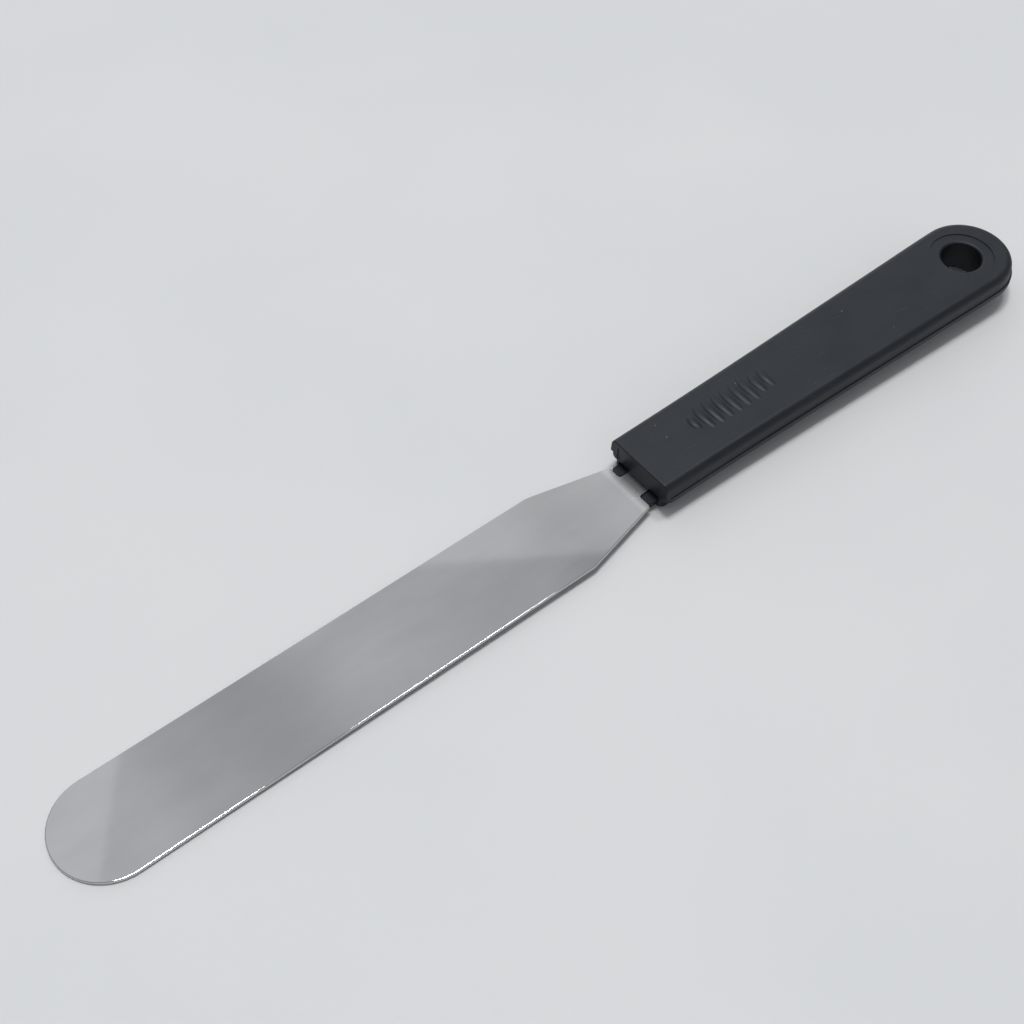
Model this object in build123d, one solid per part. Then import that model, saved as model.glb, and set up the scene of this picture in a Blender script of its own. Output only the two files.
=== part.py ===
from build123d import *
import math
import os

# Icing spatula: a straight stainless blade held between two moulded handle shells.
# Frame: +X runs from the blade's tip to the handle's end, +Z is up and z = 0 is the
# handle's underside. The origin is at the bottom centre of the whole object's box.
# A "station" is a distance along X from the blade's tip. All sizes are in millimetres.

# Whole object
overall_length = 330.0
blade_width = 30.0
handle_height = 11.0

# Blade, neck and tang
blade_thickness = 1.0
blade_floor = 2.2
blade_top = blade_floor + blade_thickness
shoulder_station = 154.5
shoulder_half_width = 14.8
shoulder_radius = 6.0
neck_end_station = 179.6
neck_half_width = 8.7
neck_corner_radius = 0.7
tang_half_width = 4.3
tang_end_station = 285.0
tang_hole_radius = 2.3
blade_edge_radius = 0.3

# Handle in plan: stations and half-widths of the wide band, from front to rear
mouth_station = 182.4
band_sides = [(mouth_station, 12.15), (218.0, 12.65), (260.0, 13.6), (298.0, 14.5)]
rear_radius = 14.8
front_corner_radius = 2.6
inner_corner_radius = 0.8

# Handle in section, from the underside up
band_bottom = 4.2
band_top = 6.2
body_inset = 2.3
cover_inset = 0.35
cover_rear_inset = 0.6
cover_draft = 5.0
wall = 2.5
cover_roof = 2.2
underside_radius = 1.2
band_edge_radius = 0.3
top_edge_radius = 2.2
front_edge_radius = 0.4
lip_thickness = 0.9
lip_height = 1.2
lip_gap = 0.1

# Front end: length moulded past the mouth and cut off square, recessed panel,
# mouth round the tang, and the prongs beside it
front_overrun = 8.0
front_wall = 3.0
panel_recess = 0.2
panel_half_width = 8.8
panel_top = 9.4
notch_half_width = 8.1
notch_floor = 3.0
prong_outer = 8.0
prong_floor = 1.2
prong_tip_radius = 1.1
bed_half_width = 6.2
bed_wall = 1.8
bed_top = 4.4
channel_gap = 0.15
tongue_half_width = 8.0
tongue_bottom = 4.2
mouth_gap = 0.1

# Posts of the lower shell in the sockets of the upper shell
post_stations = (200.0, 236.0, 272.0)
post_radius = 2.1
post_top = 8.2
socket_inner_radius = 2.2
socket_outer_radius = 4.0

# Hanging hole
hole_station = 313.0
hole_radius = 6.2
hole_tube_radius = 8.5
dish_radius = 9.9
dish_depth = 0.25
hole_edge_radius = 0.8
underside_chamfer = 0.6

# Grip ridges on the top: first station, pitch, and each ridge's half-length and centre
ridge_first_station = 204.0
ridge_pitch = 3.42
ridge_half_lengths = (2.6, 4.5, 4.9, 4.9, 4.9, 4.9, 4.8, 4.0, 3.8)
ridge_centre_y = 1.6
ridge_height = 0.5
ridge_section_radius = 2.35
ridge_lean = 45.0
ridge_root = 0.4

# How far a cut or a buried joint runs past the face that it goes through, and how
# closely an edge's radius has to agree when it is picked by radius
overrun = 1.0
radius_tolerance = 0.01


def at(station):
    """X of a station counted from the blade's tip."""
    return station - overall_length / 2


def slab(x0, x1, half_width, z0, z1):
    """Block centred on the XZ plane."""
    block = Box(x1 - x0, 2 * half_width, z1 - z0)
    return Pos((x0 + x1) / 2, 0, (z0 + z1) / 2) * block


def side_slabs(x0, x1, y0, y1, z0, z1):
    """Pair of blocks, one each side of the XZ plane."""
    block = Box(x1 - x0, y1 - y0, z1 - z0)
    x, y, z = (x0 + x1) / 2, (y0 + y1) / 2, (z0 + z1) / 2
    return Pos(x, y, z) * block + Pos(x, -y, z) * block


def disc(station, radius, z0, z1):
    """Upright cylinder on the handle's centre line."""
    return Pos(at(station), 0, (z0 + z1) / 2) * Cylinder(radius, z1 - z0)


def plan(inset, front_inset, rear_inset, corner):
    """Handle outline: the wide band's, moved in at the sides, front and rear."""
    end_radius = rear_radius - inset
    end_x = at(overall_length) - rear_inset
    end_centre = end_x - end_radius
    front_x = at(mouth_station) + front_inset
    sides = [(at(s), half - inset) for s, half in band_sides[1:]]
    front_half = band_sides[0][1] - inset
    points = [(front_x, front_half)] + sides + [(end_centre, end_radius)]
    far = Spline(*points, tangents=[(1, 0.01), (1, 0)])
    near = mirror(far, about=Plane.XZ)
    rear = ThreePointArc((end_centre, end_radius), (end_x, 0), (end_centre, -end_radius))
    front = Line((front_x, -front_half), (front_x, front_half))
    face = make_face([front, far, rear, near])
    corners = face.vertices().sort_by(Axis.X)[:2]
    return fillet(corners, corner)


def prism(face, z0, z1):
    """Upright prism of a plan face."""
    return extrude(Pos(0, 0, z0) * face, z1 - z0)


def make_blade():
    """Blade, neck and tang, cut from one sheet."""
    tip = ThreePointArc(
        (at(blade_width / 2), -blade_width / 2),
        (at(0), 0),
        (at(blade_width / 2), blade_width / 2),
    )
    edge = Polyline(
        (at(blade_width / 2), blade_width / 2),
        (at(shoulder_station), shoulder_half_width),
        (at(neck_end_station), neck_half_width),
        (at(neck_end_station), tang_half_width),
        (at(tang_end_station), tang_half_width),
    )
    end = Line((at(tang_end_station), tang_half_width), (at(tang_end_station), -tang_half_width))
    face = make_face([tip, edge, end, mirror(edge, about=Plane.XZ)])
    for station, half, radius in (
        (shoulder_station, shoulder_half_width, shoulder_radius),
        (neck_end_station, neck_half_width, neck_corner_radius),
        (neck_end_station, tang_half_width, neck_corner_radius),
        (tang_end_station, tang_half_width, tang_half_width / 2),
    ):
        corners = [
            face.vertices().sort_by_distance((at(station), side * half, 0))[0]
            for side in (1, -1)
        ]
        face = fillet(corners, radius)
    sheet = prism(face, blade_floor, blade_top)
    rims = sheet.edges().filter_by_position(Axis.Z, blade_floor, blade_floor)
    rims += sheet.edges().filter_by_position(Axis.Z, blade_top, blade_top)
    sheet = fillet(rims, blade_edge_radius)
    for station in post_stations:
        sheet -= disc(station, tang_hole_radius, blade_floor - overrun, blade_top + overrun)
    return sheet


def front_prongs():
    """Rounded lugs that flank the tang in front of the handle."""
    x0 = at(neck_end_station)
    x1 = at(mouth_station) + front_wall
    pair = side_slabs(x0, x1, tang_half_width + channel_gap, prong_outer, prong_floor, notch_floor)
    tips = pair.edges().filter_by(Axis.Z).group_by(Axis.X)[0]
    return fillet(tips, prong_tip_radius)


def make_lower_shell():
    """Lower moulding: tray with the wide band, tang bed, posts, prongs and half of the hole's tube."""
    body = prism(
        plan(body_inset, 0, body_inset, front_corner_radius - inner_corner_radius),
        0, band_bottom,
    )
    body = fillet(body.edges().group_by(Axis.Z)[0], underside_radius)
    band = prism(plan(0, 0, 0, front_corner_radius), band_bottom, band_top)
    band_rims = band.edges().group_by(Axis.Z)
    band = fillet(band_rims[0] + band_rims[-1], band_edge_radius)
    lip_inset = cover_inset + wall + lip_gap
    lip_rear = cover_rear_inset + wall + lip_gap
    lip = prism(
        plan(lip_inset, front_wall + lip_gap, lip_rear, inner_corner_radius),
        band_bottom, band_top + lip_height,
    )
    cavity = prism(
        plan(
            lip_inset + lip_thickness,
            front_wall + lip_gap + lip_thickness,
            lip_rear + lip_thickness,
            inner_corner_radius,
        ),
        blade_floor, band_top + lip_height + overrun,
    )
    shell = body + band + lip - cavity
    shell -= slab(
        at(mouth_station) - overrun, at(mouth_station) + panel_recess,
        panel_half_width, notch_floor, band_top + overrun,
    )
    inside_x = at(mouth_station) + front_wall + lip_gap + lip_thickness
    shell -= slab(
        at(mouth_station) - overrun, inside_x + overrun,
        notch_half_width, notch_floor, band_top + lip_height + overrun,
    )
    shell += front_prongs()
    tang_end_x = at(tang_end_station) + channel_gap
    shell += slab(
        inside_x - overrun, tang_end_x + bed_wall,
        bed_half_width, blade_floor - overrun, bed_top,
    )
    shell -= slab(
        at(mouth_station) - overrun, tang_end_x,
        tang_half_width + channel_gap, blade_floor, band_top,
    )
    for station in post_stations:
        shell += disc(station, post_radius, blade_floor - overrun, post_top)
    shell += disc(hole_station, hole_tube_radius, overrun, band_top)
    shell -= disc(hole_station, hole_radius, -overrun, band_top + overrun)
    mouth = shell.edges().filter_by(GeomType.CIRCLE).group_by(Axis.Z)[0]
    mouth = mouth.filter_by(lambda edge: abs(edge.radius - hole_radius) < radius_tolerance)
    return chamfer(mouth, underside_chamfer)


def grip_ridge(index):
    """Low curved ridge that fades out at both ends: the top of a leaning ring."""
    half_length = ridge_half_lengths[index]
    lean = math.radians(ridge_lean)
    ring_radius = half_length ** 2 * math.sin(lean) / (2 * ridge_height)
    x = at(ridge_first_station + index * ridge_pitch)
    crest = handle_height + ridge_height - ridge_section_radius
    ring = Rot(0, ridge_lean, 0) * Torus(ring_radius, ridge_section_radius)
    ring = Pos(
        x + ring_radius * math.cos(lean),
        ridge_centre_y,
        crest - ring_radius * math.sin(lean),
    ) * ring
    reach = 2 * ridge_section_radius
    window = Box(2 * reach, 2 * half_length + reach, ridge_root + ridge_height + overrun)
    low = handle_height - ridge_root
    window = Pos(x, ridge_centre_y, low + (ridge_root + ridge_height + overrun) / 2) * window
    return ring & window


def make_upper_shell():
    """Upper moulding: cover with the grip ridges, front tongue, sockets and the other half of the tube."""
    outline = plan(cover_inset, -front_overrun, cover_rear_inset, inner_corner_radius)
    block = extrude(Pos(0, 0, band_top) * outline, handle_height - band_top, taper=cover_draft)
    block = mirror(block, about=Plane.XY.offset(band_top))
    block = fillet(block.edges().group_by(Axis.Z)[-1], top_edge_radius)
    cover = block - slab(
        at(mouth_station) - 2 * front_overrun, at(mouth_station), blade_width, 0, 2 * handle_height,
    )
    front = cover.faces().sort_by(Axis.X)[0]
    rim = front.edges().filter_by(lambda edge: edge.center().Z > band_top + front_edge_radius)
    cover = fillet(rim, front_edge_radius)
    cavity = prism(
        plan(cover_inset + wall, front_wall, cover_rear_inset + wall, inner_corner_radius),
        band_top - overrun, handle_height - cover_roof,
    )
    shell = cover - cavity
    shell -= slab(
        at(mouth_station) - overrun, at(mouth_station) + panel_recess,
        panel_half_width, band_top - overrun, panel_top,
    )
    panel_x = at(mouth_station) + panel_recess
    back_x = at(mouth_station) + front_wall
    shell += slab(panel_x, back_x, tongue_half_width, tongue_bottom, band_top + overrun)
    shell += slab(panel_x, back_x, tang_half_width, blade_top + mouth_gap, band_top + overrun)
    for station in post_stations:
        shell += disc(station, socket_outer_radius, blade_top, handle_height - overrun)
        shell -= disc(station, socket_inner_radius, blade_top - overrun, post_top)
    shell += disc(hole_station, hole_tube_radius, band_top, handle_height - overrun)
    shell -= disc(hole_station, dish_radius, handle_height - dish_depth, handle_height + overrun)
    shell -= disc(hole_station, hole_radius, band_top - overrun, handle_height + overrun)
    rim = shell.edges().filter_by(GeomType.CIRCLE)
    rim = rim.filter_by(lambda edge: abs(edge.radius - hole_radius) < radius_tolerance)
    shell = fillet(rim.group_by(Axis.Z)[-1], hole_edge_radius)
    for index in range(len(ridge_half_lengths)):
        shell += grip_ridge(index)
    return shell


parts = {
    "blade": make_blade(),
    "handle_lower_shell": make_lower_shell(),
    "handle_upper_shell": make_upper_shell(),
}

os.makedirs("parts", exist_ok=True)
for name, shape in parts.items():
    export_step(shape, f"parts/{name}.step")
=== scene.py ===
"""Icing spatula: materials, table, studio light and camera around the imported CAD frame.

Every length is in metres. +X runs from the blade's tip to the handle's end, +Z is up,
and z = 0 is the handle's underside.
"""
import math

import bpy
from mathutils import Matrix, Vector


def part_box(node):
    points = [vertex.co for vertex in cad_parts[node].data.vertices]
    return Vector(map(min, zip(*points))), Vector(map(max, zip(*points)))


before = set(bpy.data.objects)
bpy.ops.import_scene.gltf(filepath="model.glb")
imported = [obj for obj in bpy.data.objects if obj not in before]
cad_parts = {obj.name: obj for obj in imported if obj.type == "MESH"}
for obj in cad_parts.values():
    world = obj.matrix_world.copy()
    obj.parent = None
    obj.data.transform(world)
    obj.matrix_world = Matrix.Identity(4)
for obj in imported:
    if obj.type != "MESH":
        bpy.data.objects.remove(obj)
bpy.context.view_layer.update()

PER_MM = 1000.0  # turns object coordinates in metres into texture coordinates in millimetres
NOISE_RANGE = (0.3, 0.7)  # most values of a noise lie between these

# Colours: a pair holds the darkest and the palest of a mottled surface
STEEL = ((0.590, 0.593, 0.600), (0.650, 0.653, 0.656))
STEEL_SCRATCH = (0.80, 0.81, 0.83)
PLASTIC = ((0.0085, 0.0102, 0.0140), (0.0125, 0.0147, 0.0190))
PLASTIC_SCUFF = (0.06, 0.065, 0.07)
PLASTIC_DUST = (0.16, 0.165, 0.17)
PAINT = ((0.695, 0.710, 0.715), (0.730, 0.742, 0.745))
SKY_COLOUR = (0.95, 0.97, 1.0)

# How much of its own colour a mark has
SCRATCH_SHARE = 0.12
SCUFF_SHARE = 0.3
DUST_SHARE = 0.6

# Scratches on the blade: the angle of each set in degrees, and its shift in the noise
SCRATCH_SETS = (
    (4.0, (0.0, 0.0, 0.0)), (-9.0, (0.3, 0.1, 0.0)), (31.0, (0.1, 0.4, 0.0)), (-58.0, (0.2, 0.7, 0.0)),
)

# Roughness of the blade: along its fine grain, and what smears, scratches and the satin
# steel in front of the handle add to it
STEEL_ROUGHNESS = (0.030, 0.045)
SMEAR_ROUGHNESS = (-0.005, 0.012)
SCRATCH_ROUGHNESS = 0.05
SATIN_ROUGHNESS = 0.21
SATIN_START = 0.0080  # distance in front of the handle where the satin begins
SATIN_FULL = 0.0050  # and where it is complete

# Roughness of the handle: over its spark texture, what the mottling adds and a scuff takes off
PLASTIC_ROUGHNESS = (0.40, 0.52)
MOTTLE_ROUGHNESS = (-0.04, 0.06)
SCUFF_POLISH = 0.08

# Relief, in metres
STEEL_GRAIN = 0.0000003
SCRATCH_DEPTH = 0.0000004
PLASTIC_WAVES = 0.00010
PLASTIC_SPARK = 0.000014
DUST_HEIGHT = 0.00004
PAINT_GRAIN = 0.000015

# Studio
TABLE_HALF_WIDTH = 4.0
CEILING_HEIGHT = 1.5
PANEL_LENGTH = 2.5
LEAST_RISE = 0.05  # keeps the ceiling's places finite at the horizon
WALL_LEAN = 0.6  # how far the far wall turns towards +X

# Where the sky's parts fade in: the ceiling along Y for each metre of height, and the rest
# as parts of a direction of length one
CEILING_ACROSS = (-0.35, 0.40)
CEILING_RISE = (0.35, 0.6)
FAR_WALL = (0.75, 1.1)
NEAR_WALL = (0.2, 0.9)


# ---------------------------------------------------------------- node helpers

class Shader:
    """A material's node tree with short calls for the nodes that this scene uses."""

    def __init__(self, name):
        self.material = bpy.data.materials.new(name)
        self.material.use_nodes = True
        self.tree = self.material.node_tree
        self.surface = self.tree.nodes["Principled BSDF"]
        self.place = self.tree.nodes.new("ShaderNodeTexCoord").outputs["Object"]

    def link(self, source, target):
        """Joins an output to an input."""
        self.tree.links.new(source, target)

    def node(self, kind, **settings):
        """Adds a node and sets its properties."""
        made = self.tree.nodes.new(kind)
        for key, value in settings.items():
            setattr(made, key, value)
        return made

    def stretched(self, across, turn=0.0, shift=(0.0, 0.0, 0.0)):
        """Object coordinates in millimetres, turned about Z, with their own scale on each axis."""
        turned = self.node("ShaderNodeMapping", vector_type="POINT")
        turned.inputs["Rotation"].default_value = (0.0, 0.0, math.radians(turn))
        turned.inputs["Location"].default_value = shift
        self.link(self.place, turned.inputs["Vector"])
        scaled = self.node("ShaderNodeMapping", vector_type="POINT")
        scaled.inputs["Scale"].default_value = [PER_MM * a for a in across]
        self.link(turned.outputs["Vector"], scaled.inputs["Vector"])
        return scaled.outputs["Vector"]

    def noise(self, across, detail=2.0, roughness=0.5, turn=0.0, shift=(0.0, 0.0, 0.0)):
        """Noise whose cell size is one over `across`, in millimetres."""
        made = self.node("ShaderNodeTexNoise")
        made.inputs["Scale"].default_value = 1.0
        made.inputs["Detail"].default_value = detail
        made.inputs["Roughness"].default_value = roughness
        self.link(self.stretched(across, turn, shift), made.inputs["Vector"])
        return made.outputs["Fac"]

    def cells(self, across):
        """Distance to the nearest of scattered points, in cell widths."""
        made = self.node("ShaderNodeTexVoronoi")
        made.inputs["Scale"].default_value = 1.0
        self.link(self.stretched(across), made.inputs["Vector"])
        return made.outputs["Distance"]

    def span(self, value, low, high, to_low, to_high):
        """Maps a range of values onto another, clamped."""
        made = self.node("ShaderNodeMapRange", clamp=True)
        for key, number in zip(
            ("From Min", "From Max", "To Min", "To Max"), (low, high, to_low, to_high)
        ):
            made.inputs[key].default_value = number
        self.link(value, made.inputs["Value"])
        return made.outputs["Result"]

    def math(self, kind, first, second):
        """Arithmetic of two values, each an output or a number."""
        made = self.node("ShaderNodeMath", operation=kind)
        for socket, value in zip(made.inputs, (first, second)):
            if isinstance(value, (int, float)):
                socket.default_value = value
            else:
                self.link(value, socket)
        return made.outputs["Value"]

    def blend(self, amount, first, second):
        """Mixes two colours by an amount between 0 and 1; either colour may be an output."""
        made = self.node("ShaderNodeMix", data_type="RGBA")
        self.link(amount, made.inputs["Factor"])
        for socket, colour in ((made.inputs["A"], first), (made.inputs["B"], second)):
            if isinstance(colour, tuple):
                socket.default_value = colour + (1.0,)
            else:
                self.link(colour, socket)
        return made.outputs["Result"]

    def bump(self, height, depth, under=None):
        """Relief whose height of 1 is `depth` metres."""
        made = self.node("ShaderNodeBump")
        made.inputs["Strength"].default_value = 1.0
        made.inputs["Distance"].default_value = depth
        self.link(height, made.inputs["Height"])
        if under:
            self.link(under, made.inputs["Normal"])
        return made.outputs["Normal"]

    def finish(self, colour, roughness, normal):
        """Feeds the surface shader and gives the material."""
        self.link(colour, self.surface.inputs["Base Color"])
        self.link(roughness, self.surface.inputs["Roughness"])
        self.link(normal, self.surface.inputs["Normal"])
        return self.material


# ---------------------------------------------------------------- materials

def hairlines(shader, turn, shift):
    """Sparse straight scratches in one direction, 1 on a scratch and 0 elsewhere."""
    lines = shader.noise((0.05, 7.0, 1.0), detail=1.0, turn=turn, shift=shift)
    return shader.span(lines, 0.74, 0.82, 0.0, 1.0)


def blade_steel():
    """Polished stainless sheet: fine grain, hairline scratches, faint smears, satin at the handle."""
    shader = Shader("blade_steel")
    shader.surface.inputs["Metallic"].default_value = 1.0
    grain = shader.noise((0.04, 9.0, 9.0), detail=3.0, roughness=0.6)
    smear = shader.noise((0.035, 0.09, 0.1), detail=3.0, roughness=0.55)
    scratches = hairlines(shader, *SCRATCH_SETS[0])
    for turn, shift in SCRATCH_SETS[1:]:
        scratches = shader.math("MAXIMUM", scratches, hairlines(shader, turn, shift))
    tone = shader.span(smear, *NOISE_RANGE, 0.0, 1.0)
    colour = shader.blend(tone, *STEEL)
    colour = shader.blend(shader.math("MULTIPLY", scratches, SCRATCH_SHARE), colour, STEEL_SCRATCH)
    rough = shader.span(grain, 0.25, 0.75, *STEEL_ROUGHNESS)
    rough = shader.math("ADD", rough, shader.span(smear, *NOISE_RANGE, *SMEAR_ROUGHNESS))
    rough = shader.math("ADD", rough, shader.math("MULTIPLY", scratches, SCRATCH_ROUGHNESS))
    handle_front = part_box("handle_upper_shell")[0].x
    axes = shader.node("ShaderNodeSeparateXYZ")
    shader.link(shader.place, axes.inputs["Vector"])
    satin = shader.span(
        axes.outputs["X"], handle_front - SATIN_START, handle_front - SATIN_FULL, 0.0, SATIN_ROUGHNESS
    )
    rough = shader.math("ADD", rough, satin)
    normal = shader.bump(grain, STEEL_GRAIN)
    normal = shader.bump(scratches, -SCRATCH_DEPTH, under=normal)
    return shader.finish(colour, rough, normal)


def handle_plastic():
    """Black moulded plastic: fine spark texture, soft mottling, scuffs and a few specks of dust."""
    shader = Shader("handle_plastic")
    shader.surface.inputs["Specular IOR Level"].default_value = 0.37
    shader.surface.inputs["Specular Tint"].default_value = (0.84, 0.92, 1.0, 1.0)
    texture = shader.noise((4.5, 4.5, 4.5), detail=3.0, roughness=0.65)
    waviness = shader.noise((0.12, 0.16, 0.16), detail=2.0)
    mottle = shader.noise((0.06, 0.11, 0.11), detail=4.0, roughness=0.6)
    scuff = shader.noise((0.16, 2.6, 1.2), detail=2.0, turn=12.0)
    scuff = shader.span(scuff, 0.66, 0.74, 0.0, 1.0)
    dust = shader.span(shader.cells((0.14, 0.14, 0.14)), 0.025, 0.045, 1.0, 0.0)
    tone = shader.span(mottle, *NOISE_RANGE, 0.0, 1.0)
    colour = shader.blend(tone, *PLASTIC)
    colour = shader.blend(shader.math("MULTIPLY", scuff, SCUFF_SHARE), colour, PLASTIC_SCUFF)
    colour = shader.blend(shader.math("MULTIPLY", dust, DUST_SHARE), colour, PLASTIC_DUST)
    rough = shader.span(texture, *NOISE_RANGE, *PLASTIC_ROUGHNESS)
    rough = shader.math("ADD", rough, shader.span(mottle, *NOISE_RANGE, *MOTTLE_ROUGHNESS))
    rough = shader.math("SUBTRACT", rough, shader.math("MULTIPLY", scuff, SCUFF_POLISH))
    normal = shader.bump(waviness, PLASTIC_WAVES)
    normal = shader.bump(texture, PLASTIC_SPARK, under=normal)
    normal = shader.bump(dust, DUST_HEIGHT, under=normal)
    return shader.finish(colour, rough, normal)


def table_top():
    """Pale painted table with faint clouds and a very fine grain."""
    shader = Shader("table_top")
    clouds = shader.noise((0.008, 0.008, 0.008), detail=3.0)
    grain = shader.noise((1.2, 1.2, 1.2), detail=2.0)
    colour = shader.blend(shader.span(clouds, *NOISE_RANGE, 0.0, 1.0), *PAINT)
    rough = shader.span(grain, *NOISE_RANGE, 0.55, 0.68)
    return shader.finish(colour, rough, shader.bump(grain, PAINT_GRAIN))


def dress(node, material):
    """Gives a CAD node its material."""
    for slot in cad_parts[node].material_slots:
        slot.material = material


# ---------------------------------------------------------------- table, light and camera

def resting_plane():
    """Point and slope of the table, which touches the blade's tip and the handle's front end.

    The handle's underside is at z = 0, so the slope falls by the tip's own height.
    """
    tip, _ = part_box("blade")
    heel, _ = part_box("handle_upper_shell")
    return tip, -tip.z / (heel.x - tip.x)


def make_table(material):
    """Large flat table under the spatula, tilted as the spatula rests on it."""
    tip, slope = resting_plane()
    signs = ((-1, -1), (1, -1), (1, 1), (-1, 1))
    corners = [(TABLE_HALF_WIDTH * x, TABLE_HALF_WIDTH * y) for x, y in signs]
    mesh = bpy.data.meshes.new("table")
    mesh.from_pydata([(x, y, tip.z + slope * (x - tip.x)) for x, y in corners], [], [(0, 1, 2, 3)])
    mesh.materials.append(material)
    table = bpy.data.objects.new("table", mesh)
    bpy.context.scene.collection.objects.link(table)


def aim(thing, target):
    """Turns a light or a camera so that it looks at a point."""
    thing.rotation_euler = (Vector(target) - thing.location).to_track_quat("-Z", "Y").to_euler()


def make_sun(name, direction, strength, angle):
    """Distant light; its angle sets how soft the shadow is."""
    light = bpy.data.lights.new(name, "SUN")
    light.energy = strength
    light.angle = math.radians(angle)
    lamp = bpy.data.objects.new(name, light)
    lamp.location = Vector(direction)
    aim(lamp, (0.0, 0.0, 0.0))
    bpy.context.scene.collection.objects.link(lamp)


def make_ceiling_panel(name, edge_start, edge_end, width, power):
    """Faint panel overhead, with one long side along two points, where it shows in the blade.

    The panel lies to the left of that side, or to the right if its width is negative.
    """
    start, end = Vector(edge_start), Vector(edge_end)
    along = (end - start).normalized()
    leftward = Vector((-along.y, along.x))
    centre = (start + end) / 2 + leftward * width / 2
    light = bpy.data.lights.new(name, "AREA")
    light.shape = "RECTANGLE"
    light.size, light.size_y = PANEL_LENGTH, abs(width)
    light.energy = power
    lamp = bpy.data.objects.new(name, light)
    lamp.location = (centre.x, centre.y, CEILING_HEIGHT)
    lamp.rotation_euler = (0.0, 0.0, math.atan2(along.y, along.x))
    bpy.context.scene.collection.objects.link(lamp)


def make_world(low, near_wall, far_wall, ceiling):
    """Even surrounding light, and overhead on the far side a ceiling that is brighter in soft bands.

    `low` is the light from everywhere, and the walls on the camera's side and on the far
    side add to it. `ceiling` lists how far along X a band lies for each metre of height,
    and what it adds.
    """
    world = bpy.data.worlds.new("studio")
    world.use_nodes = True
    nodes, links = world.node_tree.nodes, world.node_tree.links

    def value(kind, first, second):
        made = nodes.new("ShaderNodeMath")
        made.operation = kind
        for socket, given in zip(made.inputs, (first, second)):
            if isinstance(given, (int, float)):
                socket.default_value = given
            else:
                links.new(given, socket)
        return made.outputs["Value"]

    def smooth(source, start, end):
        made = nodes.new("ShaderNodeMapRange")
        made.interpolation_type = "SMOOTHSTEP"
        made.inputs["From Min"].default_value = start
        made.inputs["From Max"].default_value = end
        links.new(source, made.inputs["Value"])
        return made.outputs["Result"]

    toward = nodes.new("ShaderNodeSeparateXYZ")
    links.new(nodes.new("ShaderNodeTexCoord").outputs["Generated"], toward.inputs["Vector"])
    height = value("MAXIMUM", toward.outputs["Z"], LEAST_RISE)
    along = value("DIVIDE", toward.outputs["X"], height)
    across = value("DIVIDE", toward.outputs["Y"], height)
    strength = ceiling[0][1]
    for (start, before), (end, after) in zip(ceiling, ceiling[1:]):
        step = value("MULTIPLY", smooth(along, start, end), after - before)
        strength = value("ADD", strength, step)
    overhead = smooth(across, *CEILING_ACROSS)
    overhead = value("MULTIPLY", overhead, smooth(toward.outputs["Z"], *CEILING_RISE))
    strength = value("ADD", value("MULTIPLY", strength, overhead), low)
    farther = value("ADD", toward.outputs["Y"], value("MULTIPLY", toward.outputs["X"], WALL_LEAN))
    nearer = value("MULTIPLY", toward.outputs["Y"], -1.0)
    strength = value("ADD", strength, value("MULTIPLY", smooth(farther, *FAR_WALL), far_wall))
    strength = value("ADD", strength, value("MULTIPLY", smooth(nearer, *NEAR_WALL), near_wall))
    background = nodes["Background"]
    background.inputs["Color"].default_value = SKY_COLOUR + (1.0,)
    links.new(strength, background.inputs["Strength"])
    bpy.context.scene.world = world


def make_camera(target, azimuth, elevation, distance, lens):
    """Camera that looks down at a target; azimuth 0 looks along +Y."""
    az, el = math.radians(azimuth), math.radians(elevation)
    back = Vector((math.sin(az) * math.cos(el), -math.cos(az) * math.cos(el), math.sin(el)))
    data = bpy.data.cameras.new("camera")
    data.lens = lens
    data.clip_start = 0.01
    camera = bpy.data.objects.new("camera", data)
    camera.location = Vector(target) + distance * back
    aim(camera, target)
    bpy.context.scene.collection.objects.link(camera)
    bpy.context.scene.camera = camera


steel = blade_steel()
plastic = handle_plastic()
dress("blade", steel)
dress("handle_lower_shell", plastic)
dress("handle_upper_shell", plastic)

make_table(table_top())
make_world(
    low=0.24,
    near_wall=0.20,
    far_wall=0.85,
    ceiling=(
        (-0.6, 0.15), (0.03, 0.36), (0.11, 0.37), (0.16, 0.28), (0.22, 0.22), (0.30, 0.36), (0.38, 0.31),
        (0.44, 0.29), (0.50, 0.19), (0.58, 0.27), (0.66, 0.16), (0.75, 0.05), (1.20, 0.08),
    ),
)
make_sun("key", direction=(0.06, 0.21, 0.97), strength=1.15, angle=12.0)
make_sun("edge_light", direction=(0.30, 0.12, 0.94), strength=0.50, angle=9.0)
make_ceiling_panel("tip_panel", (0.04, 0.905), (-0.06, 0.775), width=-0.9, power=0.75)
make_ceiling_panel("neck_panel", (0.538, 0.909), (0.734, 0.779), width=0.35, power=0.44)
make_camera(
    target=(-0.0165, 0.01335, 0.0032), azimuth=-38.5, elevation=52.7, distance=0.43785, lens=56.25
)

view = bpy.context.scene.view_settings
view.view_transform = "Standard"
view.look = "None"
